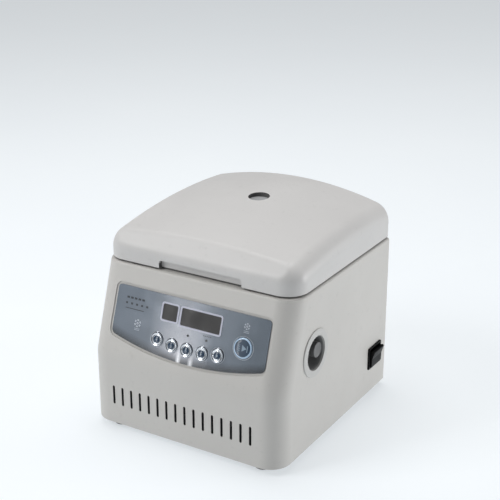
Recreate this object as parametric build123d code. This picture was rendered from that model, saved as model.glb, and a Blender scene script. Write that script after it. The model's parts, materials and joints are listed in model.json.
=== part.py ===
from build123d import *
import os

# A bench microcentrifuge: drafted housing with a sloping keypad, domed hinged lid, steel chamber and
# an angle rotor on a brushless motor. Millimetres, +Z up, front towards -Y, rotor axis vertical.

# ---- driving dimensions ----
housing_width = 240.0
housing_front = -122.0
housing_back = 130.0
housing_floor = 8.0
housing_top = 186.0
wall = 3.0
front_corner_radius = 24.0
back_corner_radius = 4.0
shoulder_radius = 4.0
crease_height = 90.0
crease_radius = 45.0
slope_run_per_rise = 0.33

lid_width = 238.0
lid_front = -88.0
lid_back = 129.0
lid_bottom = 188.0
lid_apex = 241.4
lid_wall = 3.0
lid_corner_radius = 24.0
lid_shoulder_radius = 22.0
lid_facet_height = 205.0
lid_crease_radius = 13.0
lid_back_edge_radius = 6.0
ridge_radius = 628.0
ridge_back = 84.0
notch_x = 4.0
notch_width = 102.0
notch_height = 9.0
notch_depth = 5.5

rotor_y = 39.0
bowl_radius = 71.0
bowl_floor = 100.0
bowl_sheet = 1.5
sight_radius = 12.0

hinge_y = 134.0
hinge_z = 188.0
hinge_x = 78.0
hinge_leaf_width = 36.0
hinge_barrel_radius = 4.0
hinge_pin_radius = 2.0

fit = 0.05
clearance = 0.3

switch_y = 97.0
switch_z = 51.4
rocker_reach = 7.5

ring_y = -48.0
ring_z = 114.4

inlet_x = 62.0
inlet_z = 44.0

half_width = housing_width / 2
lid_half = lid_width / 2
bounds_back = hinge_y + hinge_barrel_radius
# the origin is the middle of the whole part's footprint, rocker and hinges included
to_origin = Pos(-rocker_reach / 2, -(housing_front + bounds_back) / 2, 0)

slope_cos = 0.94963
slope_sin = 0.31338
panel = Plane(
    origin=(0, housing_front, crease_height), x_dir=(1, 0, 0), z_dir=(0, -slope_cos, slope_sin)
)


# ---- small shapes used again and again ----
def cyl(x, y, z, radius, height):
    """Upright cylinder standing on z."""
    return Pos(x, y, z + height / 2) * Cylinder(radius, height)


def tube(x, y, z, radius, bore, height):
    """Upright tube standing on z."""
    return cyl(x, y, z, radius, height) - cyl(x, y, z - 1, bore, height + 2)


def box(x0, x1, y0, y1, z0, z1):
    """Block between two corners."""
    middle = Pos((x0 + x1) / 2, (y0 + y1) / 2, (z0 + z1) / 2)
    return middle * Box(x1 - x0, y1 - y0, z1 - z0)


def rod(start, direction, radius, length):
    """Round bar from a point along a direction."""
    return extrude(Plane(origin=start, z_dir=direction) * Circle(radius), length)


def screw_down(x, y, z, shank, length, head, head_height):
    """Pan-head screw with its head above z and its shank below, with a cross recess."""
    body = cyl(x, y, z, head, head_height)
    body = fillet(body.edges().sort_by(Axis.Z)[-1], head_height * 0.45)
    body += cyl(x, y, z - length, shank, length)
    cross = Box(head * 1.1, head * 0.3, head_height) + Box(head * 0.3, head * 1.1, head_height)
    return body - Pos(x, y, z + head_height) * cross


def turned(part, x, y, z, axis, angle):
    """The part turned about an axis direction through a point."""
    return part.rotate(Axis((x, y, z), axis), angle)


def group(parts):
    """Several separate solids kept together in one node."""
    return Compound([solid for part in parts for solid in part.solids()])


def on_panel(sketch, depth, thickness):
    """A slab on the sloping front: its outer face lies depth below the slope."""
    return extrude(panel.offset(-depth) * sketch, -thickness)


# ---- housing ----
def housing_block(inset, floor, top):
    front = housing_front + inset
    crease = crease_height - inset * (1 / slope_cos - 1) / slope_run_per_rise
    top_front = front + slope_run_per_rise * (top - crease)
    back = housing_back - inset
    half = half_width - inset
    side = Polyline((front, floor), (front, crease), (top_front, top), (back, top), (back, floor), close=True)
    block = extrude(Plane.YZ * make_face(side), half, both=True)
    creases = [e for e in block.edges() if abs(e.center().Z - crease) < 0.1 and e.center().Y < front + 0.1]
    block = fillet(creases, crease_radius)
    corners = [e for e in block.edges() if abs(abs(e.center().X) - half) < 0.1 and e.center().Y < -85]
    block = fillet(corners, front_corner_radius - inset)
    backs = block.edges().filter_by(Axis.Z).filter_by(lambda e: e.center().Y > back - 0.1)
    return fillet(backs, back_corner_radius - inset)


panel_middle = 2.0
panel_top = 78.5
panel_corner = 25.1
panel_low = 11.6
panel_half_top = 94.8
panel_half_low = 95.4
key_pitch = 18.9
key_middle = 3.3
key_radius = 7.4
start_radius = 10.8
start_x = 69.1
start_v = 44.8
key_row = [(key_middle + step * key_pitch, 27.0 + 0.85 * step * step) for step in range(-2, 3)]
small_window = (-23.5, 60.8, 18.5, 16.8)
main_window = (15.0, 60.1, 48.5, 18.4)
indicator_spots = [(2.2, 42.0), (25.1, 41.8)]
lip = 2.8
panel_recess = 1.2
overlay_thickness = 1.0


def panel_outline(grow):
    edges = [
        Line((-panel_half_low, panel_corner), (-panel_half_top, panel_top)),
        Line((-panel_half_top, panel_top), (panel_half_top, panel_top)),
        Line((panel_half_top, panel_top), (panel_half_low, panel_corner)),
        ThreePointArc((panel_half_low, panel_corner), (0, panel_low), (-panel_half_low, panel_corner)),
    ]
    face = make_face(edges)
    rows = face.vertices().group_by(Axis.Y)
    face = fillet(rows[-1], 4)
    low = [v for v in face.vertices() if abs(v.Y - panel_corner) < 0.5]
    face = Pos(panel_middle, 0) * fillet(low, 6)
    return offset(face, grow) if grow else face


def window(spec, grow, radius):
    x, v, width, height = spec
    return Pos(x, v) * RectangleRounded(width + 2 * grow, height + 2 * grow, radius)


def key_spots(grow):
    spots = [Pos(x, v) * Circle(key_radius + grow) for x, v in key_row]
    return spots + [Pos(start_x, start_v) * Circle(start_radius + grow)]


vent_count = 16
vent_pitch = 11.565
vent_first = -87.7
vent_width = 2.9
vent_low = 31.3
vent_high = 53.4
rear_vent_count = 11


def slot_cutter(x, y, low, high):
    outline = Pos(x, (low + high) / 2) * SlotOverall(high - low, vent_width, rotation=90)
    return extrude(Plane.XZ.offset(-y) * outline, 12, both=True)


screw_posts = [(107, -107), (-107, -107), (112, 114), (-112, 114)]


def housing_shell():
    outer = housing_block(0, housing_floor, housing_top)
    rim = [e for e in outer.edges() if e.center().Z > housing_top - 0.1]
    outer = fillet(rim, shoulder_radius)
    shell = outer - housing_block(wall, housing_floor - 1, housing_top - wall)
    for x, y in screw_posts:
        shell += tube(x, y, 10.6, 6, 1.6, 24)
    shell -= cyl(0, rotor_y, housing_top - 6, bowl_radius + bowl_sheet + 1, 12)
    # keypad recess, display and key openings
    shell -= on_panel(panel_outline(lip), -5, 5 + panel_recess)
    for spec in (small_window, main_window):
        shell -= on_panel(window(spec, 0.6, 1.5), -5, 20)
    for spot in key_spots(0.5):
        shell -= on_panel(spot, -5, 20)
    for x, v in indicator_spots:
        shell -= on_panel(Pos(x, v) * Circle(1.5), -5, 20)
    for number in range(vent_count):
        shell -= slot_cutter(vent_first + number * vent_pitch, housing_front, vent_low, vent_high)
    for number in range(rear_vent_count):
        shell -= slot_cutter(-96 + number * vent_pitch, housing_back, 28, 62)
    # side openings: release button cup and mains switch
    shell -= rod((half_width - 10, ring_y, ring_z), (1, 0, 0), 21.2, 20)
    shell -= box(half_width - 10, half_width + 10, switch_y - 14.3, switch_y + 14.3, switch_z - 11.9, switch_z + 11.9)
    # rear opening and screw holes of the mains inlet
    shell -= box(inlet_x - 14.2, inlet_x + 14.2, 120, 140, inlet_z - 10.6, inlet_z + 10.6)
    for side in (-20, 20):
        shell -= rod((inlet_x + side, 120, inlet_z), (0, 1, 0), 1.7, 20)
    # slot for the lid's striker
    shell -= box(-5, 5, -80, -55, 170, 190)
    # holes of the hinge screws
    for x, z in hinge_screw_spots(-1):
        shell -= rod((x, 120, z), (0, 1, 0), 1.7, 20)
    return shell


def hinge_screw_spots(direction):
    """Screw centres of both hinges, above (+1) or below (-1) the hinge line."""
    return [(side * hinge_x + dx, hinge_z + direction * 17) for side in (-1, 1) for dx in (-11, 11)]


# ---- underside ----
def base_plate():
    inner = housing_block(wall + clearance, housing_floor, housing_top - wall)
    plate = inner & box(-150, 150, -150, 150, 8.2, 10.2)
    for x, y in screw_posts + foot_spots:
        plate -= cyl(x, y, 0, 2.2, 20)
    for row in range(5):
        for side in (-1, 1):
            slot = Pos(side * 62, -88 + row * 8, 9) * extrude(SlotOverall(60, 3), 5, both=True)
            plate -= slot
    return plate


foot_spots = [(-91, -103), (91, -103), (-91, 108), (91, 108)]


def rubber_foot(x, y):
    foot = cyl(x, y, 0, 10, 7.9)
    foot = fillet(foot.edges().group_by(Axis.Z)[0], 1.2)
    return foot - cyl(x, y, -1, 5.2, 5) - cyl(x, y, 0, 2.2, 10)


def foot_screw(x, y):
    screw = screw_down(x, y, 0, 2.0, 8.6, 4.4, 2.0)
    return Pos(0, 0, 3.9) * turned(screw, x, y, 0, (1, 0, 0), 180)


def base_screw(x, y):
    screw = screw_down(x, y, 0, 1.5, 16, 3.6, 1.8)
    return Pos(0, 0, 8.1) * turned(screw, x, y, 0, (1, 0, 0), 180)


# ---- chamber ----
def revolve_profile(points):
    """Ring or cup about the rotor axis from radius and height pairs."""
    face = make_face(Plane.XZ.offset(-rotor_y) * Polyline(*points, close=True))
    return revolve(face, Axis((0, rotor_y, 0), (0, 0, 1)))


def chamber_bowl():
    r = bowl_radius
    t = bowl_sheet
    top = housing_top
    # the sheet's section: round floor hole with a raised neck, floor, wall and rolled flange
    points = [
        (15, bowl_floor + 8), (15 + t, bowl_floor + 8), (15 + t, bowl_floor + t), (r - 10, bowl_floor + t),
        (r, bowl_floor + 10 + t), (r, top + t), (r + 7, top + t), (r + 7, top + 0.05), (r + t, top + 0.05),
        (r + t, bowl_floor + 9.4 + t), (r - 9.4, bowl_floor), (15, bowl_floor),
    ]
    return revolve_profile(points)


def chamber_gasket():
    r = bowl_radius
    z = housing_top + bowl_sheet + 0.05
    lip_points = [(r + 0.5, z), (r + 5.5, z), (r + 5.5, z + 2), (r + 3.6, z + 5.3), (r + 2, z + 5.3), (r + 0.5, z + 2)]
    return revolve_profile(lip_points)


def shaft_boot():
    z = bowl_floor
    points = [
        (6.4, z + 11), (9, z + 11), (12, z + 9.8), (18.5, z + 9.6), (18.5, z + 4), (16.8, z + 4), (16.8, z + 8.1),
        (11, z + 8.3), (8, z + 9.2), (6.4, z + 9.2),
    ]
    return revolve_profile(points)


# ---- drive ----
motor_bottom = 30.0
motor_top = 92.0
motor_radius = 40.0
shaft_radius = 4.0
taper_radius = 6.0
thread_radius = 3.0
taper_bottom = 118.0
taper_top = 126.0
damper_spots = [(x, rotor_y + y) for x in (-52, 52) for y in (-42, 42)]
motor_screw_spots = [(x, rotor_y + y) for x in (-32, 32) for y in (-32, 32)]


def motor_mount_plate():
    plate = box(-64, 64, rotor_y - 54, rotor_y + 54, 26, 30)
    plate = fillet(plate.edges().filter_by(Axis.Z), 10)
    plate -= cyl(0, rotor_y, 20, 14, 20)
    for x, y in damper_spots + motor_screw_spots:
        plate -= cyl(x, y, 20, 2.2, 20)
    return plate


def vibration_damper(x, y):
    z = 10.3
    height = 15.6
    waist = [(2.0, z), (9, z), (9, z + 3), (6.5, z + height / 2), (9, z + height - 3), (9, z + height), (2.0, z + height)]
    face = make_face(Plane.XZ.offset(-y) * Pos(x, 0) * Polyline(*waist, close=True))
    return revolve(face, Axis((x, y, 0), (0, 0, 1)))


def motor_housing():
    can = cyl(0, rotor_y, motor_bottom, motor_radius, motor_top - motor_bottom)
    can += box(-38, 38, rotor_y - 38, rotor_y + 38, motor_bottom, motor_bottom + 5)
    can -= cyl(0, rotor_y, motor_bottom + 6, motor_radius - 3, motor_top - motor_bottom)
    can -= cyl(0, rotor_y, motor_bottom - 1, 11, 20)
    for x, y in motor_screw_spots:
        can -= cyl(x, y, motor_bottom - 1, 1.6, 10)
    return can


def motor_end_cap():
    cap = cyl(0, rotor_y, motor_top, motor_radius, 5)
    cap += cyl(0, rotor_y, motor_top - 8, 16, 8)
    cap -= cyl(0, rotor_y, motor_top - 10, 11, 12)
    cap -= cyl(0, rotor_y, motor_top, 6, 10)
    return fillet(cap.edges().group_by(Axis.Z)[-1].sort_by(SortBy.LENGTH)[-1], 1.5)


def motor_bearing(z):
    ring = tube(0, rotor_y, z, 10.95, 8.6, 7)
    inner = tube(0, rotor_y, z, 6.4, shaft_radius + fit, 7)
    race = tube(0, rotor_y, z + 2.8, 8.8, 6.2, 1.4)
    return ring + inner + race


def motor_stator():
    ring = tube(0, rotor_y, 44, 36.8, 32, 30)
    for number in range(12):
        tooth = box(22, 33, -3, 3, 44, 74)
        coil = box(23.5, 31.5, -5, 5, 41, 77) - box(23, 32, -2.9, 2.9, 44.2, 73.8)
        ring += Pos(0, rotor_y, 0) * Rot(0, 0, 30 * number) * (tooth + coil)
    return ring


def motor_screw(x, y):
    screw = screw_down(x, y, 0, 1.5, 8, 3.4, 1.8)
    return Pos(0, 0, 25.9) * turned(screw, x, y, 0, (1, 0, 0), 180)


def motor_shaft():
    shaft = cyl(0, rotor_y, 32, shaft_radius, taper_top + 12 - 32)
    collar = cyl(0, rotor_y, 110, taper_radius, taper_bottom - 110)
    taper = Pos(0, rotor_y, (taper_bottom + taper_top) / 2) * Cone(taper_radius, shaft_radius, taper_top - taper_bottom)
    thread = cyl(0, rotor_y, taper_top + 12, thread_radius, 12)
    return shaft + collar + taper + thread


def motor_armature():
    core = tube(0, rotor_y, 45, 17, shaft_radius, 28)
    for number in range(8):
        magnet = box(16.5, 20, -5.6, 5.6, 45, 73)
        core += Pos(0, rotor_y, 0) * Rot(0, 0, 45 * number) * magnet
    return core


well_count = 12
well_radius = 5.6
well_circle = 31.0
well_mouth = 143.0
well_depth = 36.0


def rotor_body():
    bore = shaft_radius + fit
    points = [
        (taper_radius + fit, 112), (52, 112), (64, 114), (66, 117), (66, 126), (48, 154), (43, 156), (41.5, 154.8),
        (20, 133.3), (11, 133.3), (11, 138), (bore, 138), (bore, taper_top), (taper_radius + fit, taper_bottom),
    ]
    body = revolve_profile(points)
    for number in range(well_count):
        well = rod((0, 0, 0), (1, 0, -1), well_radius, well_depth)
        well += rod((0, 0, 0), (-1, 0, 1), well_radius, 20)
        mouth = Pos(well_circle, 0, well_mouth + 1.3) * well
        body -= Pos(0, rotor_y, 0) * Rot(0, 0, 360 / well_count * number) * mouth
    return body


def rotor_nut():
    knob = cyl(0, rotor_y, 138.2, 8, 5) + cyl(0, rotor_y, 143.2, 10.5, 10)
    knob = fillet(knob.edges().group_by(Axis.Z)[-1], 2)
    for number in range(15):
        groove = cyl(11.0, 0, 142, 1.0, 20)
        knob -= Pos(0, rotor_y, 0) * Rot(0, 0, 24 * number) * groove
    return knob - cyl(0, rotor_y, 130, thread_radius + fit, 20.5)


# ---- lid ----
def lid_section(y, sag, drop):
    """Arched cross-section of the lid's crown at one station from front to back."""
    half = lid_half + 6
    top = lid_apex - (y - ridge_back) ** 2 / (2 * ridge_radius) - drop
    edge = top - sag
    arch = ThreePointArc((-half, edge), (0, top), (half, edge))
    base = Polyline((half, edge), (half, 150), (-half, 150), (-half, edge))
    return make_face(Plane.XZ.offset(-y) * (arch + base))


def lid_block(inset):
    front = lid_front + inset
    back = lid_back - inset
    half = lid_half - inset
    plan = Pos(0, (front + back) / 2) * Rectangle(2 * half, back - front)
    plan = fillet(plan.vertices().group_by(Axis.Y)[0], lid_corner_radius - inset)
    floor = lid_bottom - (1 if inset else 0)
    block = Pos(0, 0, floor) * extrude(plan, 80)
    crown = loft([lid_section(y, sag, inset) for y, sag in ((-100, 2), (15, 14), (137, 21))])
    block = block & crown
    rim = [
        e for e in block.edges()
        if 200 < e.center().Z < 236 and e.center().Y < back - 0.5 and e.geom_type != GeomType.LINE
    ]
    block = fillet(rim, lid_shoulder_radius - inset)
    facet_start = (0, front, lid_facet_height - inset * 0.414)
    facet = Plane(origin=facet_start, x_dir=(1, 0, 0), z_dir=(0, -1, 1))
    return block - facet * Box(400, 400, 200, align=(Align.CENTER, Align.CENTER, Align.MIN))


def lid_outer():
    block = lid_block(0)
    facet = [f for f in block.faces() if abs(f.normal_at().Y + f.normal_at().Z) < 0.01 and f.normal_at().Z > 0.7]
    block = fillet(facet[0].edges(), lid_crease_radius)
    back = [e for e in block.edges() if e.center().Y > lid_back - 6 and e.center().Z > 190 and e.length > 5]
    return fillet(back, lid_back_edge_radius)


def grip_pocket():
    """Finger notch in the lid's front edge, its roof falling towards the back."""
    back = lid_front + notch_depth
    roof = lid_bottom + notch_height
    section = [(lid_front - 9, 180), (lid_front - 9, roof), (lid_front, roof), (back, roof - 2.5), (back, 180)]
    wedge = extrude(Plane.YZ * make_face(Polyline(*section, close=True)), notch_width, both=True)
    front_view = Pos(notch_x, (roof + 170) / 2) * RectangleRounded(notch_width, roof - 170, 3.5)
    return wedge & extrude(Plane.XZ * front_view, 200, both=True)


lid_post_spots = [(-88, -58), (88, -58), (-96, 30), (96, 30), (-60, 104), (60, 104)]
liner_bottom = 193.4
liner_sheet = 1.5


def lid_cover():
    outer = lid_outer()
    cover = outer - lid_block(lid_wall)
    liner_top = liner_bottom + liner_sheet
    posts = cyl(0, rotor_y, liner_top + 0.1, sight_radius + 2.5, 60)
    for x, y in lid_post_spots:
        posts += cyl(x, y, liner_top + 0.1, 5, 60)
    # the grip pocket in the front edge has its own back wall, which hangs down almost to the deck
    left = notch_x - notch_width / 2
    right = notch_x + notch_width / 2
    pocket_back = lid_front + notch_depth
    posts += box(left - 3, right + 3, lid_front + 1, pocket_back + 2.5, lid_bottom, lid_bottom + notch_height + 3)
    cover += posts & outer
    cover += box(left, right, pocket_back, pocket_back + 2.5, housing_top + 0.6, lid_bottom + 1)
    cover -= cyl(0, rotor_y, 180, sight_radius - 2, 80)
    cover -= cyl(0, rotor_y, 233.4, sight_radius, 20)
    for x, y in lid_post_spots:
        cover -= cyl(x, y, liner_top - 1, 1.6, 13)
    cover -= grip_pocket()
    for x, z in hinge_screw_spots(1):
        cover -= rod((x, 120, z), (0, 1, 0), 1.6, 20)
    return cover


def lid_liner():
    plan = Pos(0, 23.5) * RectangleRounded(226, 199, 14)
    plate = Pos(0, 0, liner_bottom) * extrude(plan, liner_sheet)
    plate -= cyl(0, rotor_y, 180, sight_radius - 2, 30)
    for x, y in lid_post_spots:
        plate -= cyl(x, y, 180, 2.1, 30)
    return plate


def lid_screw(x, y):
    screw = screw_down(x, y, 0, 1.5, 10, 3.6, 1.8)
    return Pos(0, 0, liner_bottom - 0.05) * turned(screw, x, y, 0, (1, 0, 0), 180)


def sight_window():
    disc = cyl(0, rotor_y, 233.5, sight_radius - 0.15, 2.2)
    return fillet(disc.edges().group_by(Axis.Z)[-1], 0.5)


striker_back = -60.0
striker_front = -76.0


def lid_striker():
    plate = box(-1.5, 1.5, striker_front, striker_back, 164, liner_bottom - 0.05)
    plate = fillet(plate.edges().filter_by(Axis.X).group_by(Axis.Z)[0], 4)
    plate += box(-9, 9, striker_front, striker_back, liner_bottom - 2.05, liner_bottom - 0.05)
    return plate - box(-3, 3, -73.5, -62.5, 168.5, 179.5)


# ---- hinges ----
def hinge_barrels(x0, x1):
    length = x1 - x0
    barrel = rod((x0, hinge_y, hinge_z), (1, 0, 0), hinge_barrel_radius, length)
    return barrel


def hinge_leaf_lower(side):
    middle = side * hinge_x
    half = hinge_leaf_width / 2
    leaf = box(middle - half, middle + half, housing_back + 0.05, housing_back + 2.2, 162, 183.4)
    for start in (-half, half - 11):
        leaf += hinge_barrels(middle + start, middle + start + 11)
        leaf += box(middle + start, middle + start + 11, housing_back + 0.05, housing_back + 2.2, 183, hinge_z)
    leaf -= rod((middle - 30, hinge_y, hinge_z), (1, 0, 0), hinge_pin_radius, 60)
    for dx in (-11, 11):
        leaf -= rod((middle + dx, 120, hinge_z - 17), (0, 1, 0), 1.7, 20)
    return leaf


def hinge_leaf_upper(side):
    middle = side * hinge_x
    half = hinge_leaf_width / 2
    reach = half - 11 - clearance
    leaf = box(middle - half, middle + half, lid_back + 0.05, lid_back + 2.2, 193, 214)
    leaf += hinge_barrels(middle - reach, middle + reach)
    leaf += box(middle - reach, middle + reach, lid_back + 0.05, lid_back + 2.4, hinge_z, 194)
    leaf -= rod((middle - 30, hinge_y, hinge_z), (1, 0, 0), hinge_pin_radius + fit, 60)
    for dx in (-11, 11):
        leaf -= rod((middle + dx, 120, hinge_z + 17), (0, 1, 0), 1.7, 20)
    return leaf


def hinge_pin(side):
    half = hinge_leaf_width / 2 + 0.8
    pin = rod((side * hinge_x - half, hinge_y, hinge_z), (1, 0, 0), hinge_pin_radius, 2 * half)
    return pin


def back_screw(x, z, face, length):
    """Screw driven into the rear wall, head towards +Y."""
    screw = screw_down(0, 0, 0, 1.5, length, 3.2, 1.7)
    return Pos(x, face, z) * Rot(-90, 0, 0) * screw


# ---- keypad ----
overlay_depth = panel_recess - overlay_thickness


def control_overlay():
    outline = panel_outline(0)
    for spec in (small_window, main_window):
        outline -= window(spec, 0, 1.5)
    for spot in key_spots(clearance):
        outline -= spot
    for x, v in indicator_spots:
        outline -= Pos(x, v) * Circle(1.3)
    return on_panel(outline, overlay_depth, overlay_thickness - 0.02)


def display_bezel(spec):
    frame = window(spec, 1.9, 3.0) - window(spec, 0.05, 1.5)
    return on_panel(frame, overlay_depth - 0.42, 0.4)


def display_window(spec):
    lens = on_panel(window(spec, -0.1, 1.4), overlay_depth + 0.15, 3)
    return lens


def indicator_lens(x, v):
    return on_panel(Pos(x, v) * Circle(1.2), overlay_depth - 0.3, 4)


def keycap(x, v, radius):
    cap = on_panel(Pos(x, v) * Circle(radius), overlay_depth - 1.6, 5.8)
    crown = cap.faces().sort_by(Axis((0, 0, 0), (0, -slope_cos, slope_sin)))[-1]
    cap = fillet(crown.edges(), 0.9)
    cap += on_panel(Pos(x, v) * Circle(radius + 1.6), wall + 0.4, 1.2)
    return cap


key_switch_depth = 5.3


def key_switch(x, v):
    body = on_panel(Pos(x, v) * Rectangle(6, 6), key_switch_depth + 1.0, 3.2)
    return body + on_panel(Pos(x, v) * Circle(1.7), key_switch_depth + 0.4, 1.0)


def display_module(spec):
    x, v, width, height = spec
    return on_panel(Pos(x, v) * Rectangle(width, height), 3.6, 5.8)


board_depth = 9.6


def control_board():
    board = on_panel(Pos(0, 44) * Rectangle(176, 44), board_depth, 1.6)
    board += on_panel(Pos(-60, 44) * Rectangle(14, 14), board_depth + 1.6, 2)
    board += on_panel(Pos(60, 52) * Rectangle(22, 6), board_depth + 1.6, 8)
    for x in (-30, -18, 26, 38):
        board += on_panel(Pos(x, 30) * Rectangle(5, 8), board_depth + 1.6, 3)
    return board


# ---- power electronics on the base ----
def power_board():
    board = box(-108, -70, -70, 60, 20, 21.6)
    for x, y in ((-105, -66), (-73, -66), (-105, 56), (-73, 56)):
        board += cyl(x, y, 10.3, 2.5, 9.7)
    board += box(-104, -92, -58, -40, 21.6, 30)
    board += box(-84, -74, -60, -48, 21.6, 33)
    board += box(-102, -78, 40, 52, 21.6, 32)
    return board


def transformer():
    core = box(-104, -74, -28, 2, 21.7, 47)
    core -= box(-99, -95, -40, 10, 26, 43)
    core -= box(-83, -79, -40, 10, 26, 43)
    winding = box(-97, -81, -32, 6, 27, 42)
    return core + winding


def capacitor(x, y, radius, height):
    can = cyl(x, y, 21.7, radius, height)
    return fillet(can.edges().group_by(Axis.Z)[-1], 1)


def heatsink():
    sink = box(-112, -109, -40, 50, 10.3, 74)
    for number in range(9):
        y = -38 + number * 10.7
        sink += box(-110, -100, y, y + 1.6, 52, 74)
    return sink


# ---- mains switch ----
rocker_pin_radius = 1.5


def switch_body():
    bezel = box(half_width + 0.02, half_width + 2, switch_y - 15.6, switch_y + 15.6, switch_z - 13.4, switch_z + 13.4)
    bezel = fillet(bezel.edges().filter_by(Axis.X), 1.5)
    bezel = fillet(bezel.faces().sort_by(Axis.X)[-1].edges(), 0.8)
    case = box(half_width - 22, half_width + 1, switch_y - 14, switch_y + 14, switch_z - 11.7, switch_z + 11.7)
    cavity = box(half_width - 9, half_width + 5, switch_y - 12.8, switch_y + 12.8, switch_z - 11.3, switch_z + 11.3)
    pivot_hole = rod((half_width, switch_y - 14.05, switch_z), (0, 1, 0), rocker_pin_radius + fit, 28.1)
    return bezel + case - cavity - pivot_hole


def switch_terminals():
    blades = [
        box(half_width - 31, half_width - 22.02, switch_y + dy - 3.1, switch_y + dy + 3.1, switch_z + dz - 0.4, switch_z + dz + 0.4)
        for dy in (-7, 7) for dz in (-7, 0)
    ]
    return group(blades)


rocker_rest_angle = 10.0


def power_rocker():
    tip_u = 5.55
    tip_v = 9.7
    profile = Polyline(
        (tip_u, -tip_v), (4.2, 0), (tip_u, tip_v), (3.4, 10.6), (-2, 7.5), (-6, 4), (-6, -4), (-2, -7.5), (3.4, -10.6),
        close=True,
    )
    face = make_face(Plane.XZ * profile)
    rocker = extrude(face, 12.4, both=True)
    # Plane.XZ faces -Y; the sketch's first axis points outwards along +X
    tips = [e for e in rocker.edges().filter_by(Axis.Y) if e.center().X > tip_u - 0.1]
    rocker = fillet(tips, 0.8)
    placed = Pos(half_width, switch_y, switch_z) * Rot(0, rocker_rest_angle, 0) * rocker
    return placed + rod((half_width, switch_y - 13.7, switch_z), (0, 1, 0), rocker_pin_radius, 27.4)


# ---- lid release button ----
cup_floor = half_width - 13.0


def release_bezel():
    x = half_width
    ring = rod((x + 0.02, ring_y, ring_z), (1, 0, 0), 26.5, 1.3)
    ring = fillet(ring.faces().sort_by(Axis.X)[-1].edges(), 0.9)
    cup = rod((cup_floor - 2, ring_y, ring_z), (1, 0, 0), 20.9, x + 1 - cup_floor + 2)
    bezel = ring + cup
    hollow = Plane(origin=(cup_floor, ring_y, ring_z), z_dir=(1, 0, 0)) * Cone(
        17.4, 18.9, x + 1.4 - cup_floor, align=(Align.CENTER, Align.CENTER, Align.MIN)
    )
    bezel -= hollow
    bezel -= rod((cup_floor - 5, button_y, button_z), (1, 0, 0), 4.3, 10)
    bezel -= box(cup_floor - 5, cup_floor + 0.5, ring_y - 14, ring_y - 4, ring_z - 2, ring_z + 10)
    return bezel


button_y = -41.5
button_z = 115.0
button_radius = 8.4
button_travel = 3.0
button_face = half_width - 0.8


def release_button():
    head = rod((button_face - 5, button_y, button_z), (1, 0, 0), button_radius, 5)
    head = fillet(head.faces().sort_by(Axis.X)[-1].edges(), 0.8)
    dish = Pos(button_face + 28.9, button_y, button_z) * Sphere(30)
    head -= dish
    stem = rod((button_face - 17.9, button_y, button_z), (1, 0, 0), 4, 13)
    return head + stem


def release_spring():
    """Three coils round the stem, joined by short bridges."""
    pitch = 3.05
    wire = 0.4
    first = cup_floor + wire + 0.1
    spring = None
    for number in range(3):
        x = first + number * pitch
        coil = Pos(x, button_y, button_z) * Rot(0, 90, 0) * Torus(5.6, wire)
        spring = coil if spring is None else spring + coil
    for number in range(2):
        x = first + number * pitch
        spring += box(x, x + pitch, button_y - 0.3, button_y + 0.3, button_z + 5.35, button_z + 5.85)
    return spring


def release_microswitch():
    back = button_face - 17.9 - button_travel - 0.6
    body = box(back - 10, back, button_y - 10, button_y + 10, button_z - 3.2, button_z + 3.2)
    return body


# ---- lid lock under the front of the deck ----
bolt_y = -68.0
bolt_z = 174.0
bolt_radius = 3.5
bolt_travel = 13.0


def lock_frame():
    top = housing_top - wall - 0.1
    frame = box(-44, 18, striker_front - 8, striker_back + 8, top - 2.5, top)
    frame += box(-14, -11, striker_front - 2, striker_back + 2, 164, top)
    frame += box(8, 11, striker_front - 2, striker_back + 2, 164, top)
    frame -= box(-5, 5, -80, -55, 160, 190)
    frame -= rod((-20, bolt_y, bolt_z), (1, 0, 0), bolt_radius + fit, 40)
    return frame


def lock_solenoid():
    coil = rod((-42, bolt_y, bolt_z), (1, 0, 0), 6.2, 27.9)
    coil += box(-43, -40, bolt_y - 6.5, bolt_y + 6.5, bolt_z - 6.5, bolt_z + 6.2)
    coil += box(-17, -14.1, bolt_y - 6.5, bolt_y + 6.5, bolt_z - 6.5, bolt_z + 6.2)
    return coil - rod((-39, bolt_y, bolt_z), (1, 0, 0), bolt_radius + fit, 30)


def lock_bolt():
    bolt = rod((-36, bolt_y, bolt_z), (1, 0, 0), bolt_radius, 31)
    return chamfer(bolt.faces().sort_by(Axis.X)[-1].edges(), 0.8)


# ---- mains inlet ----
pin_spots = [(-7, -1.5), (0, 3.5), (7, -1.5)]


def power_inlet():
    face = housing_back + 0.02
    flange = box(inlet_x - 25, inlet_x + 25, face, face + 2.6, inlet_z - 11.2, inlet_z + 11.2)
    flange = fillet(flange.edges().filter_by(Axis.Y), 4)
    body = box(inlet_x - 13.9, inlet_x + 13.9, face - 20, face + 1, inlet_z - 10.3, inlet_z + 10.3)
    outline = [(-12, 8.2), (12, 8.2), (12, -2.5), (7, -8.2), (-7, -8.2), (-12, -2.5)]
    mouth = make_face(Polyline(*[(inlet_x + x, inlet_z + z) for x, z in outline], close=True))
    mouth = extrude(Plane.XZ.offset(-(face - 16)) * mouth, -30)
    inlet = flange + body - mouth
    for side in (-20, 20):
        inlet -= rod((inlet_x + side, 110, inlet_z), (0, 1, 0), 1.7, 30)
    for dx, dz in pin_spots:
        x = inlet_x + dx
        z = inlet_z + dz
        inlet -= box(x - 1.02, x + 1.02, 90, face - 10, z - 2.02, z + 2.02)
    return inlet


def inlet_pins():
    face = housing_back + 0.02
    pins = []
    for dx, dz in pin_spots:
        x = inlet_x + dx
        z = inlet_z + dz
        pins.append(box(x - 1, x + 1, face - 28, face - 2, z - 2, z + 2))
    return group(pins)


# ---- every node, under the name of the piece ----
def mirrored(make, *rest):
    return group([make(side, *rest) for side in (-1, 1)])


def every(make, spots):
    return group([make(*spot) for spot in spots])


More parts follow.
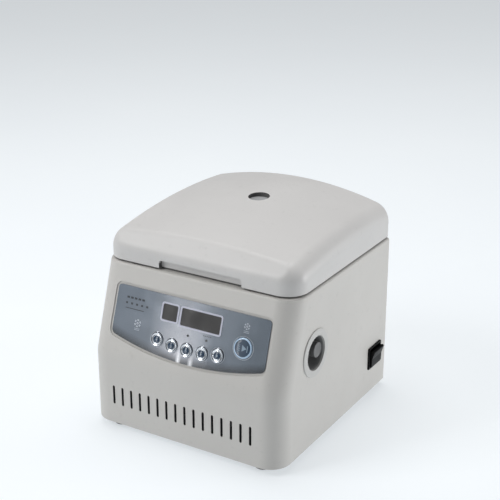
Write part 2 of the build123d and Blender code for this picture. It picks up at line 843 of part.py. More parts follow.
nodes = {
    "housing_shell": housing_shell(),
    "base_plate": base_plate(),
    "base_screws": every(base_screw, screw_posts),
    "rubber_feet": every(rubber_foot, foot_spots),
    "foot_screws": every(foot_screw, foot_spots),
    "chamber_bowl": chamber_bowl(),
    "chamber_gasket": chamber_gasket(),
    "shaft_boot": shaft_boot(),
    "motor_mount_plate": motor_mount_plate(),
    "vibration_dampers": every(vibration_damper, damper_spots),
    "motor_housing": motor_housing(),
    "motor_end_cap": motor_end_cap(),
    "motor_bearings": group([motor_bearing(motor_bottom + 2), motor_bearing(motor_top - 7)]),
    "motor_stator": motor_stator(),
    "motor_screws": every(motor_screw, motor_screw_spots),
    "motor_shaft": motor_shaft(),
    "motor_armature": motor_armature(),
    "rotor_body": rotor_body(),
    "rotor_nut": rotor_nut(),
    "lid_cover": lid_cover(),
    "lid_liner": lid_liner(),
    "lid_screws": every(lid_screw, lid_post_spots),
    "sight_window": sight_window(),
    "lid_striker": lid_striker(),
    "hinge_leaves_upper": mirrored(hinge_leaf_upper),
    "hinge_leaves_lower": mirrored(hinge_leaf_lower),
    "hinge_pins": mirrored(hinge_pin),
    "lid_hinge_screws": group([back_screw(x, z, lid_back + 2.25, 8) for x, z in hinge_screw_spots(1)]),
    "housing_hinge_screws": group([back_screw(x, z, housing_back + 2.25, 8) for x, z in hinge_screw_spots(-1)]),
    "control_overlay": control_overlay(),
    "display_bezels": group([display_bezel(spec) for spec in (small_window, main_window)]),
    "display_window_small": display_window(small_window),
    "display_window_main": display_window(main_window),
    "display_modules": group([display_module(spec) for spec in (small_window, main_window)]),
    "indicator_lenses": every(indicator_lens, indicator_spots),
    "key_switches": every(key_switch, key_row + [(start_x, start_v)]),
    "control_board": control_board(),
    "start_key": keycap(start_x, start_v, start_radius),
    "power_board": power_board(),
    "transformer": transformer(),
    "capacitors": every(capacitor, [(-98, 22, 7, 26), (-82, 22, 7, 26), (-87, -38, 4, 14), (-77, -38, 4, 14)]),
    "heatsink": heatsink(),
    "switch_body": switch_body(),
    "switch_terminals": switch_terminals(),
    "power_rocker": power_rocker(),
    "power_inlet": power_inlet(),
    "inlet_pins": inlet_pins(),
    "inlet_screws": group([back_screw(inlet_x + side, inlet_z, housing_back + 2.65, 8) for side in (-20, 20)]),
    "release_bezel": release_bezel(),
    "release_button": release_button(),
    "release_spring": release_spring(),
    "release_microswitch": release_microswitch(),
    "lock_frame": lock_frame(),
    "lock_solenoid": lock_solenoid(),
    "lock_bolt": lock_bolt(),
}
for number, (key_x, key_v) in enumerate(key_row, start=1):
    nodes[f"key_{number}"] = keycap(key_x, key_v, key_radius)

os.makedirs("parts", exist_ok=True)
for name, part in nodes.items():
    export_step(to_origin * part, f"parts/{name}.step")
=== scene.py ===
import json
import math

import bmesh
import bpy
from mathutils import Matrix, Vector
from mathutils.bvhtree import BVHTree


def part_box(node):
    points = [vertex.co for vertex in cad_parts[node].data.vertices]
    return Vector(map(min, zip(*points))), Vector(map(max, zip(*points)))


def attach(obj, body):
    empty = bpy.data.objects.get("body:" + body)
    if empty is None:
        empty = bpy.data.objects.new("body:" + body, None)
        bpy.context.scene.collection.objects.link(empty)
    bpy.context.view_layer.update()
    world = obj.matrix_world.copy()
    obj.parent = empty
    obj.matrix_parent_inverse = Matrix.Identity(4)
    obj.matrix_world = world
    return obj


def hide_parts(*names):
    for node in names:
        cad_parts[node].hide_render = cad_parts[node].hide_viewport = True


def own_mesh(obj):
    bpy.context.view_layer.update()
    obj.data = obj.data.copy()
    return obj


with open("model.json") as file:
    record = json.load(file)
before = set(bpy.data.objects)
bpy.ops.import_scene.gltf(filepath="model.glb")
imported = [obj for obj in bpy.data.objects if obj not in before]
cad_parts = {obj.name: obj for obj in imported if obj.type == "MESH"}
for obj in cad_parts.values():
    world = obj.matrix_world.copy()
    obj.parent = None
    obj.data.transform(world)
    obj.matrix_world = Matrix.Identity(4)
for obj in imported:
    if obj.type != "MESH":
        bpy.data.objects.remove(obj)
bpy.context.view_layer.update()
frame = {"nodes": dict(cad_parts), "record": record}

# The looks of a bench microcentrifuge: materials for every CAD node, finer keys, prints, spring and
# intake screens, then the room, its lights and the camera. Metres, unless a comment says millimetres.

NODES = frame["nodes"]
MM = 0.001
scene = bpy.context.scene

# sloping keypad plane: unit vectors across, up the slope and out of it, from the middle of its crease
SLOPE_COS = 0.94963
SLOPE_SIN = 0.31338
CREASE_HEIGHT = 0.090
ACROSS = Vector((1, 0, 0))
UP_SLOPE = Vector((0, SLOPE_SIN, SLOPE_COS))
OUT = Vector((0, -SLOPE_COS, SLOPE_SIN))
housing_low, housing_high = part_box("housing_shell")
PANEL_ORIGIN = Vector(((housing_low.x + housing_high.x) / 2, housing_low.y, CREASE_HEIGHT))

# the keypad's overlay, in millimetres on the slope
OVERLAY_MIDDLE = 2.0
OVERLAY_HALF_WIDTH = 95.4
OVERLAY_LOW = 11.6
OVERLAY_ARCH = 13.5
OVERLAY_FACE = -0.2
PRINT_THICKNESS = 0.03

# edges sharper than this stay crisp
SMOOTH_ANGLE = math.radians(30)
# degrees, a little short of a turn, so that the two ends of a ring don't share points
FULL_CIRCLE = 359.9


# ---------------------------------------------------------------- materials
class Shader:
    """A Principled material with helpers for procedural nodes."""

    def __init__(self, name, color, rough, metallic=0.0, **sockets):
        self.mat = bpy.data.materials.new(name)
        self.mat.use_nodes = True
        self.tree = self.mat.node_tree
        self.bsdf = self.tree.nodes["Principled BSDF"]
        self.now = color
        self.normal = None
        self.put("Base Color", (*color, 1))
        self.put("Roughness", rough)
        self.put("Metallic", metallic)
        for key, value in sockets.items():
            self.put(key.replace("_", " "), value)
        self.mat.diffuse_color = (*color, 1)
        self.place = self.node("ShaderNodeTexCoord").outputs["Object"]

    def put(self, socket, value):
        self.bsdf.inputs[socket].default_value = value

    def node(self, kind, **settings):
        made = self.tree.nodes.new(kind)
        for key, value in settings.items():
            setattr(made, key, value)
        return made

    def link(self, a, b):
        self.tree.links.new(a, b)

    def noise(self, scale, detail=4.0, stretch=None):
        made = self.node("ShaderNodeTexNoise")
        made.inputs["Scale"].default_value = scale
        made.inputs["Detail"].default_value = detail
        made.inputs["Roughness"].default_value = 0.55
        source = self.place
        if stretch:
            mapping = self.node("ShaderNodeMapping")
            mapping.inputs["Scale"].default_value = stretch
            self.link(source, mapping.inputs["Vector"])
            source = mapping.outputs["Vector"]
        self.link(source, made.inputs["Vector"])
        return made.outputs["Fac"]

    def cells(self, scale):
        made = self.node("ShaderNodeTexVoronoi", feature="F1")
        made.inputs["Scale"].default_value = scale
        self.link(self.place, made.inputs["Vector"])
        return made.outputs["Distance"]

    def ranged(self, value, low, high, to_low, to_high):
        made = self.node("ShaderNodeMapRange")
        made.inputs["From Min"].default_value = low
        made.inputs["From Max"].default_value = high
        made.inputs["To Min"].default_value = to_low
        made.inputs["To Max"].default_value = to_high
        self.link(value, made.inputs["Value"])
        return made.outputs["Result"]

    def math(self, operation, a, b=None):
        made = self.node("ShaderNodeMath", operation=operation)
        for socket, value in zip(made.inputs, (a, b)):
            if value is None:
                continue
            if isinstance(value, (int, float)):
                socket.default_value = value
            else:
                self.link(value, socket)
        return made.outputs["Value"]

    def product(self, a, b):
        return self.math("MULTIPLY", a, b)

    def away(self, value, center):
        """Distance of a value from a centre."""
        return self.math("ABSOLUTE", self.math("SUBTRACT", value, center))

    def mix(self, factor, a, b):
        made = self.node("ShaderNodeMix", data_type="RGBA")
        self.link(factor, made.inputs["Factor"])
        for socket, value in (("A", a), ("B", b)):
            target = [s for s in made.inputs if s.name == socket and s.type == "RGBA"][0]
            if isinstance(value, tuple):
                target.default_value = (*value, 1)
            else:
                self.link(value, target)
        return [s for s in made.outputs if s.type == "RGBA"][0]

    def axis(self, name):
        split = self.node("ShaderNodeSeparateXYZ")
        self.link(self.place, split.inputs["Vector"])
        return split.outputs[name]

    def tint(self, value, low, high, color):
        """Base colour drifts to another colour where the value runs from low to high."""
        self.now = self.mix(self.ranged(value, low, high, 0, 1), self.now, color)
        self.link(self.now, self.bsdf.inputs["Base Color"])

    def roughness(self, value, low, high, smooth, coarse):
        self.link(self.ranged(value, low, high, smooth, coarse), self.bsdf.inputs["Roughness"])

    def bump(self, height, strength, distance):
        made = self.node("ShaderNodeBump")
        made.inputs["Strength"].default_value = strength
        made.inputs["Distance"].default_value = distance
        self.link(height, made.inputs["Height"])
        if self.normal is not None:
            self.link(self.normal, made.inputs["Normal"])
        self.normal = made.outputs["Normal"]
        self.link(self.normal, self.bsdf.inputs["Normal"])


def shade(color, factor):
    return tuple(min(1.0, c * factor) for c in color)


def moulded(name, color, rough, texture=0.35, dust=0.10):
    """Moulded plastic: fine spark texture, faint handling marks and dust."""
    shader = Shader(name, color, rough, Specular_IOR_Level=0.42)
    shader.tint(shader.noise(9, 3), 0.30, 0.72, shade(color, 1 - dust * 0.45))
    shader.tint(shader.noise(160, 5), 0.60, 0.80, shade(color, 1 - dust))
    shader.roughness(shader.noise(38, 6), 0.25, 0.75, rough - 0.07, rough + 0.09)
    shader.bump(shader.noise(2600, 2), texture, 0.00006)
    shader.bump(shader.noise(14, 2), 0.12, 0.0008)
    return shader


def rubbery(name, color):
    shader = Shader(name, color, 0.78, Specular_IOR_Level=0.3)
    shader.tint(shader.noise(220, 6), 0.45, 0.75, shade(color, 2.2))
    shader.roughness(shader.noise(90, 4), 0.3, 0.7, 0.66, 0.9)
    shader.bump(shader.noise(1500, 3), 0.4, 0.0001)
    return shader


def brushed(name, color, rough, stretch, grain=900, metallic=1.0):
    """Metal with a directional grain and soft blotches."""
    shader = Shader(name, color, rough, metallic, Anisotropic=0.45)
    lines = shader.noise(grain, 4, stretch)
    shader.tint(lines, 0.3, 0.75, shade(color, 0.8))
    shader.roughness(lines, 0.25, 0.8, rough - 0.08, rough + 0.12)
    shader.bump(lines, 0.16, 0.00005)
    shader.bump(shader.noise(30, 3), 0.08, 0.0004)
    return shader


def turned_metal(name, color, rough, metallic=1.0):
    """Lathe-turned metal: fine rings about the rotor's axis."""
    shader = Shader(name, color, rough, metallic, Anisotropic=0.3)
    dx = shader.math("SUBTRACT", shader.axis("X"), ROTOR_X)
    dy = shader.math("SUBTRACT", shader.axis("Y"), ROTOR_Y)
    squares = shader.math("ADD", shader.product(dx, dx), shader.product(dy, dy))
    along = shader.math("ADD", shader.math("SQRT", squares), shader.axis("Z"))
    rings = shader.math("SINE", shader.product(along, RINGS_PER_METRE * 2 * math.pi))
    shader.tint(shader.noise(60, 5), 0.4, 0.8, shade(color, 0.75))
    shader.roughness(shader.noise(140, 4), 0.3, 0.7, rough - 0.06, rough + 0.1)
    shader.bump(rings, 0.10, 0.00003)
    shader.bump(shader.noise(700, 2), 0.12, 0.00004)
    return shader


def glossy(name, color, rough, coat=0.0, speck=1.6, **sockets):
    """Glossy moulding with faint scratches and dust specks."""
    shader = Shader(name, color, rough, Coat_Weight=coat, Coat_Roughness=0.08, **sockets)
    shader.tint(shader.noise(420, 6), 0.62, 0.85, shade(color, speck))
    shader.roughness(shader.noise(70, 6), 0.3, 0.75, max(0.03, rough - 0.05), rough + 0.10)
    shader.bump(shader.noise(1200, 3), 0.10, 0.00004)
    return shader


def circuit(name):
    """Green board with pads where the cells meet."""
    shader = Shader(name, (0.04, 0.20, 0.10), 0.4)
    shader.tint(shader.cells(260), 0.02, 0.10, (0.30, 0.26, 0.10))
    shader.tint(shader.noise(120, 4), 0.5, 0.8, (0.03, 0.13, 0.07))
    shader.roughness(shader.noise(60, 4), 0.3, 0.7, 0.3, 0.5)
    shader.bump(shader.cells(260), 0.3, 0.0001)
    return shader


def windings(name):
    shader = Shader(name, (0.40, 0.17, 0.07), 0.35, 0.6)
    shader.tint(shader.noise(300, 3, (1, 1, 9)), 0.45, 0.7, (0.16, 0.07, 0.03))
    shader.roughness(shader.noise(80, 4), 0.3, 0.7, 0.28, 0.5)
    shader.bump(shader.noise(500, 2, (1, 1, 8)), 0.5, 0.0002)
    return shader


def window_glass(name):
    shader = Shader(name, (0.62, 0.63, 0.64), 0.12, IOR=1.49, Alpha=0.55)
    shader.roughness(shader.noise(80, 5), 0.3, 0.75, 0.1, 0.3)
    shader.bump(shader.noise(500, 2), 0.12, 0.00004)
    return shader


def overlay_foil(name):
    """Printed silver-blue foil with a painted highlight, paler between displays and keys and in two pale
    streaks under the middle keys; painted shade darkens it towards the right; dark along its arched lower
    edge.
    """
    shader = Shader(name, (0.108, 0.132, 0.162), 0.30, 0.40, Coat_Weight=0.35, Coat_Roughness=0.2)
    # painted highlight: a pale band across the middle of the foil, strongest low on the slope
    from_highlight_band = shader.away(shader.axis("X"), PANEL_ORIGIN.x - 0.006)
    across = shader.ranged(from_highlight_band, 0.040, 0.004, 0, 1)
    along = shader.ranged(shader.axis("Z"), 0.160, 0.118, 0.35, 1)
    shader.tint(shader.product(across, along), 0, 1, (0.44, 0.45, 0.49))
    # millimetres from the overlay's middle line, and height over its arched lower edge
    middle_line = PANEL_ORIGIN.x + OVERLAY_MIDDLE * MM
    sideways = shader.product(shader.math("SUBTRACT", shader.axis("X"), middle_line), 1 / MM)
    arch = shader.product(shader.product(sideways, sideways), OVERLAY_ARCH / OVERLAY_HALF_WIDTH ** 2)
    rise = shader.product(shader.math("SUBTRACT", shader.axis("Z"), CREASE_HEIGHT), 1 / MM / SLOPE_COS)
    height = shader.math("SUBTRACT", rise, shader.math("ADD", arch, OVERLAY_LOW))
    # painted shade: the foil grows darker towards the right
    shader.tint(sideways, 25, 80, (0.082, 0.104, 0.128))
    shader.tint(height, 10, 0, (0.010, 0.012, 0.014))
    # painted highlight: two pale streaks below the middle keys
    left, right = [shader.ranged(shader.away(sideways, place), 3.6, 0.4, 0, 0.85) for place in (-7.4, 8.0)]
    highlight_streaks = shader.product(shader.math("MAXIMUM", left, right), shader.ranged(height, 17, 5, 0, 1))
    shader.tint(highlight_streaks, 0, 1, (0.70, 0.71, 0.74))
    shader.tint(shader.noise(1800, 3), 0.5, 0.8, (0.12, 0.15, 0.20))
    shader.roughness(shader.noise(55, 5), 0.3, 0.75, 0.28, 0.44)
    shader.bump(shader.noise(1600, 2), 0.14, 0.00003)
    return shader


def recessed_ring(name):
    """Ring in the housing's colour whose cup is painted darker grey from just under its rim, as painted
    shade in the recess.
    """
    shader = moulded(name, (0.53, 0.525, 0.51), 0.42, 0.22)
    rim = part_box("release_bezel")[1].x
    # painted shade: the cup below the rim is darker grey
    shader.tint(shader.axis("X"), rim - 0.0016, rim - 0.0026, (0.25, 0.25, 0.251))
    return shader


rotor_low, rotor_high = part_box("rotor_body")
ROTOR_X = (rotor_low.x + rotor_high.x) / 2
ROTOR_Y = (rotor_low.y + rotor_high.y) / 2
RINGS_PER_METRE = 900

materials = {
    "cream_housing": moulded("housing_plastic", (0.575, 0.560, 0.535), 0.44, 0.30),
    "white_lid": moulded("lid_plastic", (0.600, 0.590, 0.580), 0.42, 0.22),
    "rubber": rubbery("black_rubber", (0.018, 0.018, 0.019)),
    "grey_rubber": rubbery("gasket_rubber", (0.07, 0.07, 0.075)),
    "steel": brushed("brushed_steel", (0.60, 0.61, 0.62), 0.40, (1, 14, 14), metallic=0.75),
    "bright_steel": turned_metal("ground_steel", (0.66, 0.67, 0.68), 0.22),
    "zinc_steel": brushed("zinc_steel", (0.52, 0.54, 0.56), 0.38, (1, 3, 3), 500),
    "black_aluminium": turned_metal("anodised_rotor", (0.028, 0.028, 0.031), 0.34, 0.85),
    "aluminium": turned_metal("turned_aluminium", (0.62, 0.63, 0.65), 0.3),
    "copper_iron": windings("windings"),
    "magnets": brushed("magnet_steel", (0.20, 0.20, 0.22), 0.45, (1, 1, 10), 300),
    "bezel_grey": glossy("bezel_print", (0.50, 0.51, 0.60), 0.32),
    "clear": window_glass("window_plastic"),
    "board_green": circuit("circuit_board"),
    "black_plastic": glossy("black_gloss", (0.003, 0.003, 0.0034), 0.42, Specular_IOR_Level=0.12),
    "black_matt": moulded("black_matt", (0.012, 0.012, 0.013), 0.5, 0.5, -0.8),
    "grey_plastic": recessed_ring("ring_plastic"),
    "button_grey": glossy("button_plastic", (0.125, 0.125, 0.127), 0.38, speck=0.85),
    "brass": brushed("brass", (0.62, 0.46, 0.22), 0.3, (1, 8, 1), 400),
    "overlay": overlay_foil("overlay_foil"),
    "smoked": glossy("smoked_window", (0.016, 0.015, 0.015), 0.34, speck=1.4),
    "key_blue": glossy("key_blue", (0.020, 0.045, 0.085), 0.2, 0.6),
    "start_blue": glossy("start_blue", (0.016, 0.042, 0.080), 0.3, 0.25),
}
# painted shade for the housing's inside; the intake screens use it as their own dark colour
shade_and_screen_dark = moulded("shaded_inside_and_screens", (0.045, 0.045, 0.047), 0.7, 0.4, -0.5)
# painted shade for the lid's inside and its flat lower edge
lid_painted_shade = moulded("lid_painted_shade", (0.10, 0.10, 0.10), 0.6, 0.3)
key_silver = glossy("key_silver", (0.56, 0.59, 0.63), 0.2, 0.5, 0.7, Metallic=0.9)
key_mark = glossy("key_mark", (0.22, 0.30, 0.38), 0.3)
ring_blue = glossy("ring_pale_blue", (0.42, 0.56, 0.72), 0.26, 0.4)
print_pale = glossy("print_pale", (0.42, 0.45, 0.50), 0.4)
print_dark = glossy("print_dark", (0.02, 0.024, 0.032), 0.4)


def dress_nodes():
    """Each CAD node gets the material of its slot in the record."""
    slot_of = {part["node"]: part["material_slot"] for part in frame["record"]["subparts"]}
    for name, node in NODES.items():
        node.data.materials.clear()
        node.data.materials.append(materials[slot_of[name]].mat)
        node.data.polygons.foreach_set("use_smooth", [True] * len(node.data.polygons))
        node.data.update()


def darken_inside(node_name, shader, keep=None, under=0.0):
    """Faces that look at their own wall, or lie below a height, are inside: they get a darker material, as
    painted shade.
    """
    reach = 0.4
    lift = 0.00005
    mesh = NODES[node_name].data
    mesh.materials.append(shader.mat)
    tree = BVHTree.FromPolygons([v.co for v in mesh.vertices], [tuple(p.vertices) for p in mesh.polygons])
    for face in mesh.polygons:
        if keep and keep(face):
            continue
        start = face.center + face.normal * lift
        if face.center.z < under or tree.ray_cast(start, face.normal, reach)[0] is not None:
            face.material_index = 1


def on_keypad(face):
    """True for the walls of the keypad's recess, which stay the housing's colour."""
    deepest = -0.0016
    highest = 0.0005
    return deepest < (face.center - PANEL_ORIGIN).dot(OUT) < highest


# just above the flat lower edge of the lid, which is inside as well
LID_EDGE = 0.1881
dress_nodes()
# painted shade: inside faces of the housing and the lid get darker materials
darken_inside("housing_shell", shade_and_screen_dark, keep=on_keypad)
darken_inside("lid_cover", lid_painted_shade, under=LID_EDGE)


# ---------------------------------------------------------------- mesh helpers
def piece(name, vertices, faces, shader, body, stands_for=()):
    """A named mesh that rides on a CAD body."""
    mesh = bpy.data.meshes.new(name)
    mesh.from_pydata([tuple(v) for v in vertices], [], faces)
    mesh.validate()
    work = bmesh.new()
    work.from_mesh(mesh)
    bmesh.ops.recalc_face_normals(work, faces=work.faces)
    work.to_mesh(mesh)
    work.free()
    mesh.materials.append(shader.mat)
    made = bpy.data.objects.new(name, mesh)
    scene.collection.objects.link(made)
    mesh.shade_smooth()
    mesh.set_sharp_from_angle(angle=SMOOTH_ANGLE)
    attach(made, body)
    if stands_for:
        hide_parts(*stands_for)
    return made


def lathe(profile, center, steps=96):
    """Points and faces of a profile of (radius, height) in millimetres, turned about the slope's normal."""
    axis = OUT.normalized()
    other = axis.cross(ACROSS)
    smallest_radius = 1e-6
    points = []
    faces = []
    for radius, height in profile:
        for step in range(steps):
            angle = 2 * math.pi * step / steps
            outward = ACROSS * math.cos(angle) + other * math.sin(angle)
            points.append(center + axis * height * MM + outward * max(radius * MM, smallest_radius))
    for row in range(len(profile) - 1):
        near = row * steps
        far = near + steps
        for step in range(steps):
            after = (step + 1) % steps
            faces.append((near + step, near + after, far + after, far + step))
    return points, faces


def on_slope(x, v, out=0.0):
    """A point on the sloping front, in millimetres across, up the slope and out of it."""
    return PANEL_ORIGIN + ACROSS * x * MM + UP_SLOPE * v * MM + OUT * out * MM


def flat_shape(outline, out, thickness):
    """A thin slab on the slope from an outline of (across, up) points in millimetres."""
    count = len(outline)
    points = [on_slope(x, v, level) for level in (out, out + thickness) for x, v in outline]
    faces = [tuple(range(count)), tuple(range(count, 2 * count))]
    for i in range(count):
        j = (i + 1) % count
        faces.append((i, j, count + j, count + i))
    return points, faces


def bar(x, v, width, height, turn=0.0):
    """Outline of a rectangle about a point, turned by an angle."""
    a = width / 2
    b = height / 2
    cosine = math.cos(turn)
    sine = math.sin(turn)
    corners = [(-a, -b), (a, -b), (a, b), (-a, b)]
    return [(x + p * cosine - q * sine, v + p * sine + q * cosine) for p, q in corners]


def arc_band(x, v, inner, outer, start, end, steps):
    """Outline of part of a ring about a point, between two angles in degrees."""
    angles = [math.radians(start + (end - start) * i / steps) for i in range(steps + 1)]
    far = [(x + outer * math.cos(a), v + outer * math.sin(a)) for a in angles]
    near = [(x + inner * math.cos(a), v + inner * math.sin(a)) for a in reversed(angles)]
    return far + near


def joined(name, shapes, shader, body):
    """One piece made of several flat shapes."""
    points = []
    faces = []
    for more_points, more_faces in shapes:
        start = len(points)
        points += more_points
        faces += [tuple(i + start for i in face) for face in more_faces]
    return piece(name, points, faces, shader, body)


# ---------------------------------------------------------------- keypad
# turned profiles of (radius, height over the slope), in millimetres
KEY_COLLAR = [
    (3.92, 0.7), (4.0, 0.98), (4.3, 1.1), (5.0, 0.92), (5.5, 0.90), (6.1, 1.22), (6.6, 1.36),
    (7.1, 1.22), (7.35, 0.8), (7.4, 0.3), (7.4, -3.4), (9.0, -3.4), (9.0, -4.4), (1.0, -4.4),
]
KEY_DOME = [(3.9, 0.5), (3.9, 0.9), (3.4, 1.1), (2.4, 1.25), (1.2, 1.33), (0.0, 1.36)]
KEY_MARK_HEIGHT = 1.18
START_RING = [
    (9.05, 1.18), (9.2, 1.34), (9.8, 1.34), (10.4, 1.05), (10.75, 0.6), (10.8, 0.1), (10.8, -3.4),
    (12.4, -3.4), (12.4, -4.6), (2.0, -4.6),
]
START_DOME = [(9.03, 0.9), (9.03, 1.14), (8.6, 1.2), (6.0, 1.32), (3.0, 1.38), (0.0, 1.40)]
START_MARK_HEIGHT = 1.22
MARK_THICKNESS = 0.2
SMALL_KEYS = range(1, 6)


def key_center(name):
    """Middle of a key's cap, as (across, up) on the slope in millimetres."""
    low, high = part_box(name)
    middle = (low + high) / 2 - PANEL_ORIGIN
    return middle.dot(ACROSS) / MM, middle.dot(UP_SLOPE) / MM


def chevron(x, v, lean):
    """Outlines of two bars that meet at the top, or at the bottom when the angle is negative."""
    return [bar(x + side * 0.65, v, 1.9, 0.4, -side * lean) for side in (-1, 1)]


def small_key_mark(number, x, v):
    """Outlines of a small key's generic mark: a dash, a cross, a chevron up or down, or a square."""
    dash = bar(x, v, 2.6, 0.45)
    upright = bar(x, v, 0.45, 2.6)
    lean = math.radians(50)
    square = bar(x, v, 1.7, 1.7)
    marks = ([dash], [dash, upright], chevron(x, v, lean), chevron(x, v, -lean), [square])
    return marks[number - 1]


def start_key_mark(x, v):
    """Outlines of the start key's generic mark: four slanted bars, an arrowhead and an upright bar."""
    slanted = [bar(x - 4.4, v + rise, 3.0, 0.7, math.radians(25)) for rise in (-3.6, -1.6, 0.4, 2.4)]
    arrowhead = [(x - 0.6, v - 3.4), (x + 4.6, v), (x - 0.6, v + 3.4)]
    return slanted + [arrowhead, bar(x + 5.6, v, 0.9, 6.6)]


def add_key(name, rim_name, rim, rim_shader, dome, slot, mark, mark_height):
    """A key's rim, inset and mark, in place of its plain CAD cap."""
    center = on_slope(*key_center(name))
    points, faces = lathe(rim, center)
    piece(rim_name, points, faces, rim_shader, name, (name,))
    points, faces = lathe(dome, center)
    piece(f"{name}_inset", points, faces, materials[slot], name, ())
    shapes = [flat_shape(outline, mark_height, MARK_THICKNESS) for outline in mark]
    joined(f"{name}_mark", shapes, key_mark, name)


def add_keys():
    for number in SMALL_KEYS:
        name = f"key_{number}"
        mark = small_key_mark(number, *key_center(name))
        add_key(name, f"{name}_collar", KEY_COLLAR, key_silver, KEY_DOME, "key_blue", mark, KEY_MARK_HEIGHT)
    name = "start_key"
    mark = start_key_mark(*key_center(name))
    add_key(name, "start_key_ring", START_RING, ring_blue, START_DOME, "start_blue", mark, START_MARK_HEIGHT)


def rotor_sign(x, v, size):
    """Outlines of a generic pictogram: six sectors round a hub, over two short bars."""
    sectors = [arc_band(x, v, size * 0.62, size, turn + 8, turn + 44, 8) for turn in range(0, 360, 60)]
    hub = arc_band(x, v, size * 0.12, size * 0.32, 0, FULL_CIRCLE, 24)
    bars = [bar(x, v - size - 1.6 - 1.5 * row, 6.4, 0.5) for row in range(2)]
    return sectors + [hub] + bars


def add_prints():
    """Prints on the overlay: rings round the keys and pictograms are pale, ticks and title blocks dark."""
    pale = [arc_band(*key_center(f"key_{number}"), 8.1, 8.5, 0, FULL_CIRCLE, 72) for number in SMALL_KEYS]
    start_x, start_v = key_center("start_key")
    pale.append(arc_band(start_x, start_v, 11.7, 12.2, 0, FULL_CIRCLE, 90))
    pale += rotor_sign(start_x + 0.5, start_v + 22.5, 3.4)
    pale += rotor_sign(-62.0, 41.0, 4.2)
    # tick marks over the second indicator
    dark = [bar(25.4 + step * 2.1, 46.2, 1.3, 1.0) for step in range(-2, 3)]
    # plain blocks and a line at the top left, where the keypad's title would be
    for step in range(5):
        dark.append(bar(-78.5 + step * 4.9, 66.4, 3.4, 2.2))
        dark.append(bar(-79.5 + step * 6.6, 60.2, 2.6, 2.2))
    dark.append(bar(-68.5, 54.8, 24, 0.8))
    for name, outlines, shader in (("pale", pale, print_pale), ("dark", dark, print_dark)):
        shapes = [flat_shape(outline, OVERLAY_FACE, PRINT_THICKNESS) for outline in outlines]
        joined(f"overlay_print_{name}", shapes, shader, "base")


# ---------------------------------------------------------------- spring and intake screens
def helix(start, end_x, radius, wire, turns, steps=40, sides=10):
    """Points and faces of a coil of round wire that runs along +X, from a start point to an end X."""
    count = int(turns * steps)
    points = []
    faces = []
    for i in range(count + 1):
        angle = 2 * math.pi * turns * i / count
        outward = Vector((0, math.cos(angle), math.sin(angle)))
        center = start + Vector(((end_x - start.x) * i / count, 0, 0)) + outward * radius
        for side in range(sides):
            around = 2 * math.pi * side / sides
            points.append(center + (outward * math.cos(around) + ACROSS * math.sin(around)) * wire)
    for i in range(count):
        near = i * sides
        far = near + sides
        for side in range(sides):
            after = (side + 1) % sides
            faces.append((near + side, near + after, far + after, far + side))
    faces.append(tuple(range(sides)))
    faces.append(tuple(range(count * sides, (count + 1) * sides)))
    return points, faces


def add_release_coil():
    """The release button's spring as a true coil."""
    low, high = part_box("release_spring")
    wire = 0.4 * MM
    turns = 3.5
    start = Vector((low.x + wire, (low.y + high.y) / 2, (low.z + high.z) / 2))
    points, faces = helix(start, high.x - wire, (high.y - low.y) / 2 - wire, wire, turns)
    steel = materials["bright_steel"]
    coil = piece("release_coil", points, faces, steel, "base", ("release_spring",))
    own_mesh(coil)


def add_intake_screens():
    """Fine dark screens that lie over the base plate's intake slots."""
    half_width = 0.0325
    depth = 0.038
    screen_x = 0.062
    levels = (0.00005, 0.0004)
    plate_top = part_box("base_plate")[1].z
    front = PANEL_ORIGIN.y + 0.031
    back = front + depth
    sides = [(0, 1, 2, 3), (4, 5, 6, 7), (0, 1, 5, 4), (1, 2, 6, 5), (2, 3, 7, 6), (3, 0, 4, 7)]
    for side, name in ((-1, "left"), (1, "right")):
        left = PANEL_ORIGIN.x + side * screen_x - half_width
        right = left + 2 * half_width
        corners = [(left, front), (right, front), (right, back), (left, back)]
        sheet = [(x, y, plate_top + level) for level in levels for x, y in corners]
        piece(f"intake_screen_{name}", sheet, sides, shade_and_screen_dark, "base", ())


add_keys()
add_prints()
add_release_coil()
add_intake_screens()


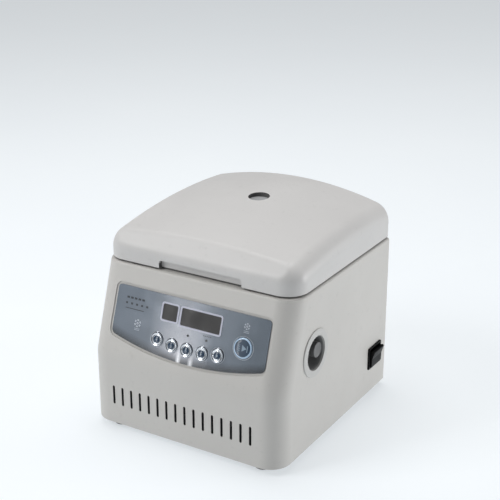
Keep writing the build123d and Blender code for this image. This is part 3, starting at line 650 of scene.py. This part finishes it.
# ---------------------------------------------------------------- room, lights and camera
def add_floor():
    """Pale floor that glows a little, so that it stays even towards the horizon."""
    shader = Shader("floor", (0.42, 0.44, 0.45), 0.7, Specular_IOR_Level=0.2)
    shader.put("Emission Color", (0.93, 0.97, 1.0, 1))
    shader.put("Emission Strength", 0.57)
    shader.tint(shader.noise(2, 3), 0.3, 0.7, (0.40, 0.42, 0.435))
    shader.bump(shader.noise(300, 2), 0.05, 0.0003)
    mesh = bpy.data.meshes.new("floor")
    mesh.from_pydata([(-9, -9, 0), (9, -9, 0), (9, 14, 0), (-9, 14, 0)], [], [(0, 1, 2, 3)])
    mesh.materials.append(shader.mat)
    floor = bpy.data.objects.new("floor", mesh)
    scene.collection.objects.link(floor)


def softbox(name, place, width, height, power):
    """A rectangular area light that faces the middle of the machine."""
    light = bpy.data.lights.new(name, "AREA")
    light.shape = "RECTANGLE"
    light.size = width
    light.size_y = height
    light.energy = power
    made = bpy.data.objects.new(name, light)
    made.location = place
    made.rotation_euler = (LIT_POINT - Vector(place)).to_track_quat("-Z", "Y").to_euler()
    scene.collection.objects.link(made)


def add_world():
    """A dim, slightly blue surrounding light."""
    world = bpy.data.worlds.new("world")
    scene.world = world
    world.use_nodes = True
    background = world.node_tree.nodes["Background"]
    background.inputs["Color"].default_value = (0.93, 0.96, 1.0, 1)
    background.inputs["Strength"].default_value = 0.12
    scene.view_settings.view_transform = "Standard"


def add_camera():
    azimuth = math.radians(31.129)
    pitch = math.radians(21.107)
    level = math.cos(pitch)
    back = Vector((math.sin(azimuth) * level, -math.cos(azimuth) * level, math.sin(pitch)))
    camera = bpy.data.cameras.new("camera")
    camera.sensor_width = 36
    camera.lens = 83.80
    made = bpy.data.objects.new("camera", camera)
    made.location = (0.619605, -1.020373, 0.647707)
    made.rotation_euler = (-back).to_track_quat("-Z", "Y").to_euler()
    scene.collection.objects.link(made)
    scene.camera = made


LIT_POINT = Vector((0, 0, 0.12))
add_floor()
softbox("top_softbox", (-0.25, 0.32, 1.9), 1.5, 1.5, 25)
softbox("front_softbox", (-1.06, -1.18, 1.5), 0.9, 0.7, 16.8)
softbox("strip_light", (-1.06, -1.84, 0.45), 0.07, 1.1, 5)
softbox("right_softbox", (2.36, 1.38, 0.45), 1.3, 0.9, 36)
add_world()
add_camera()
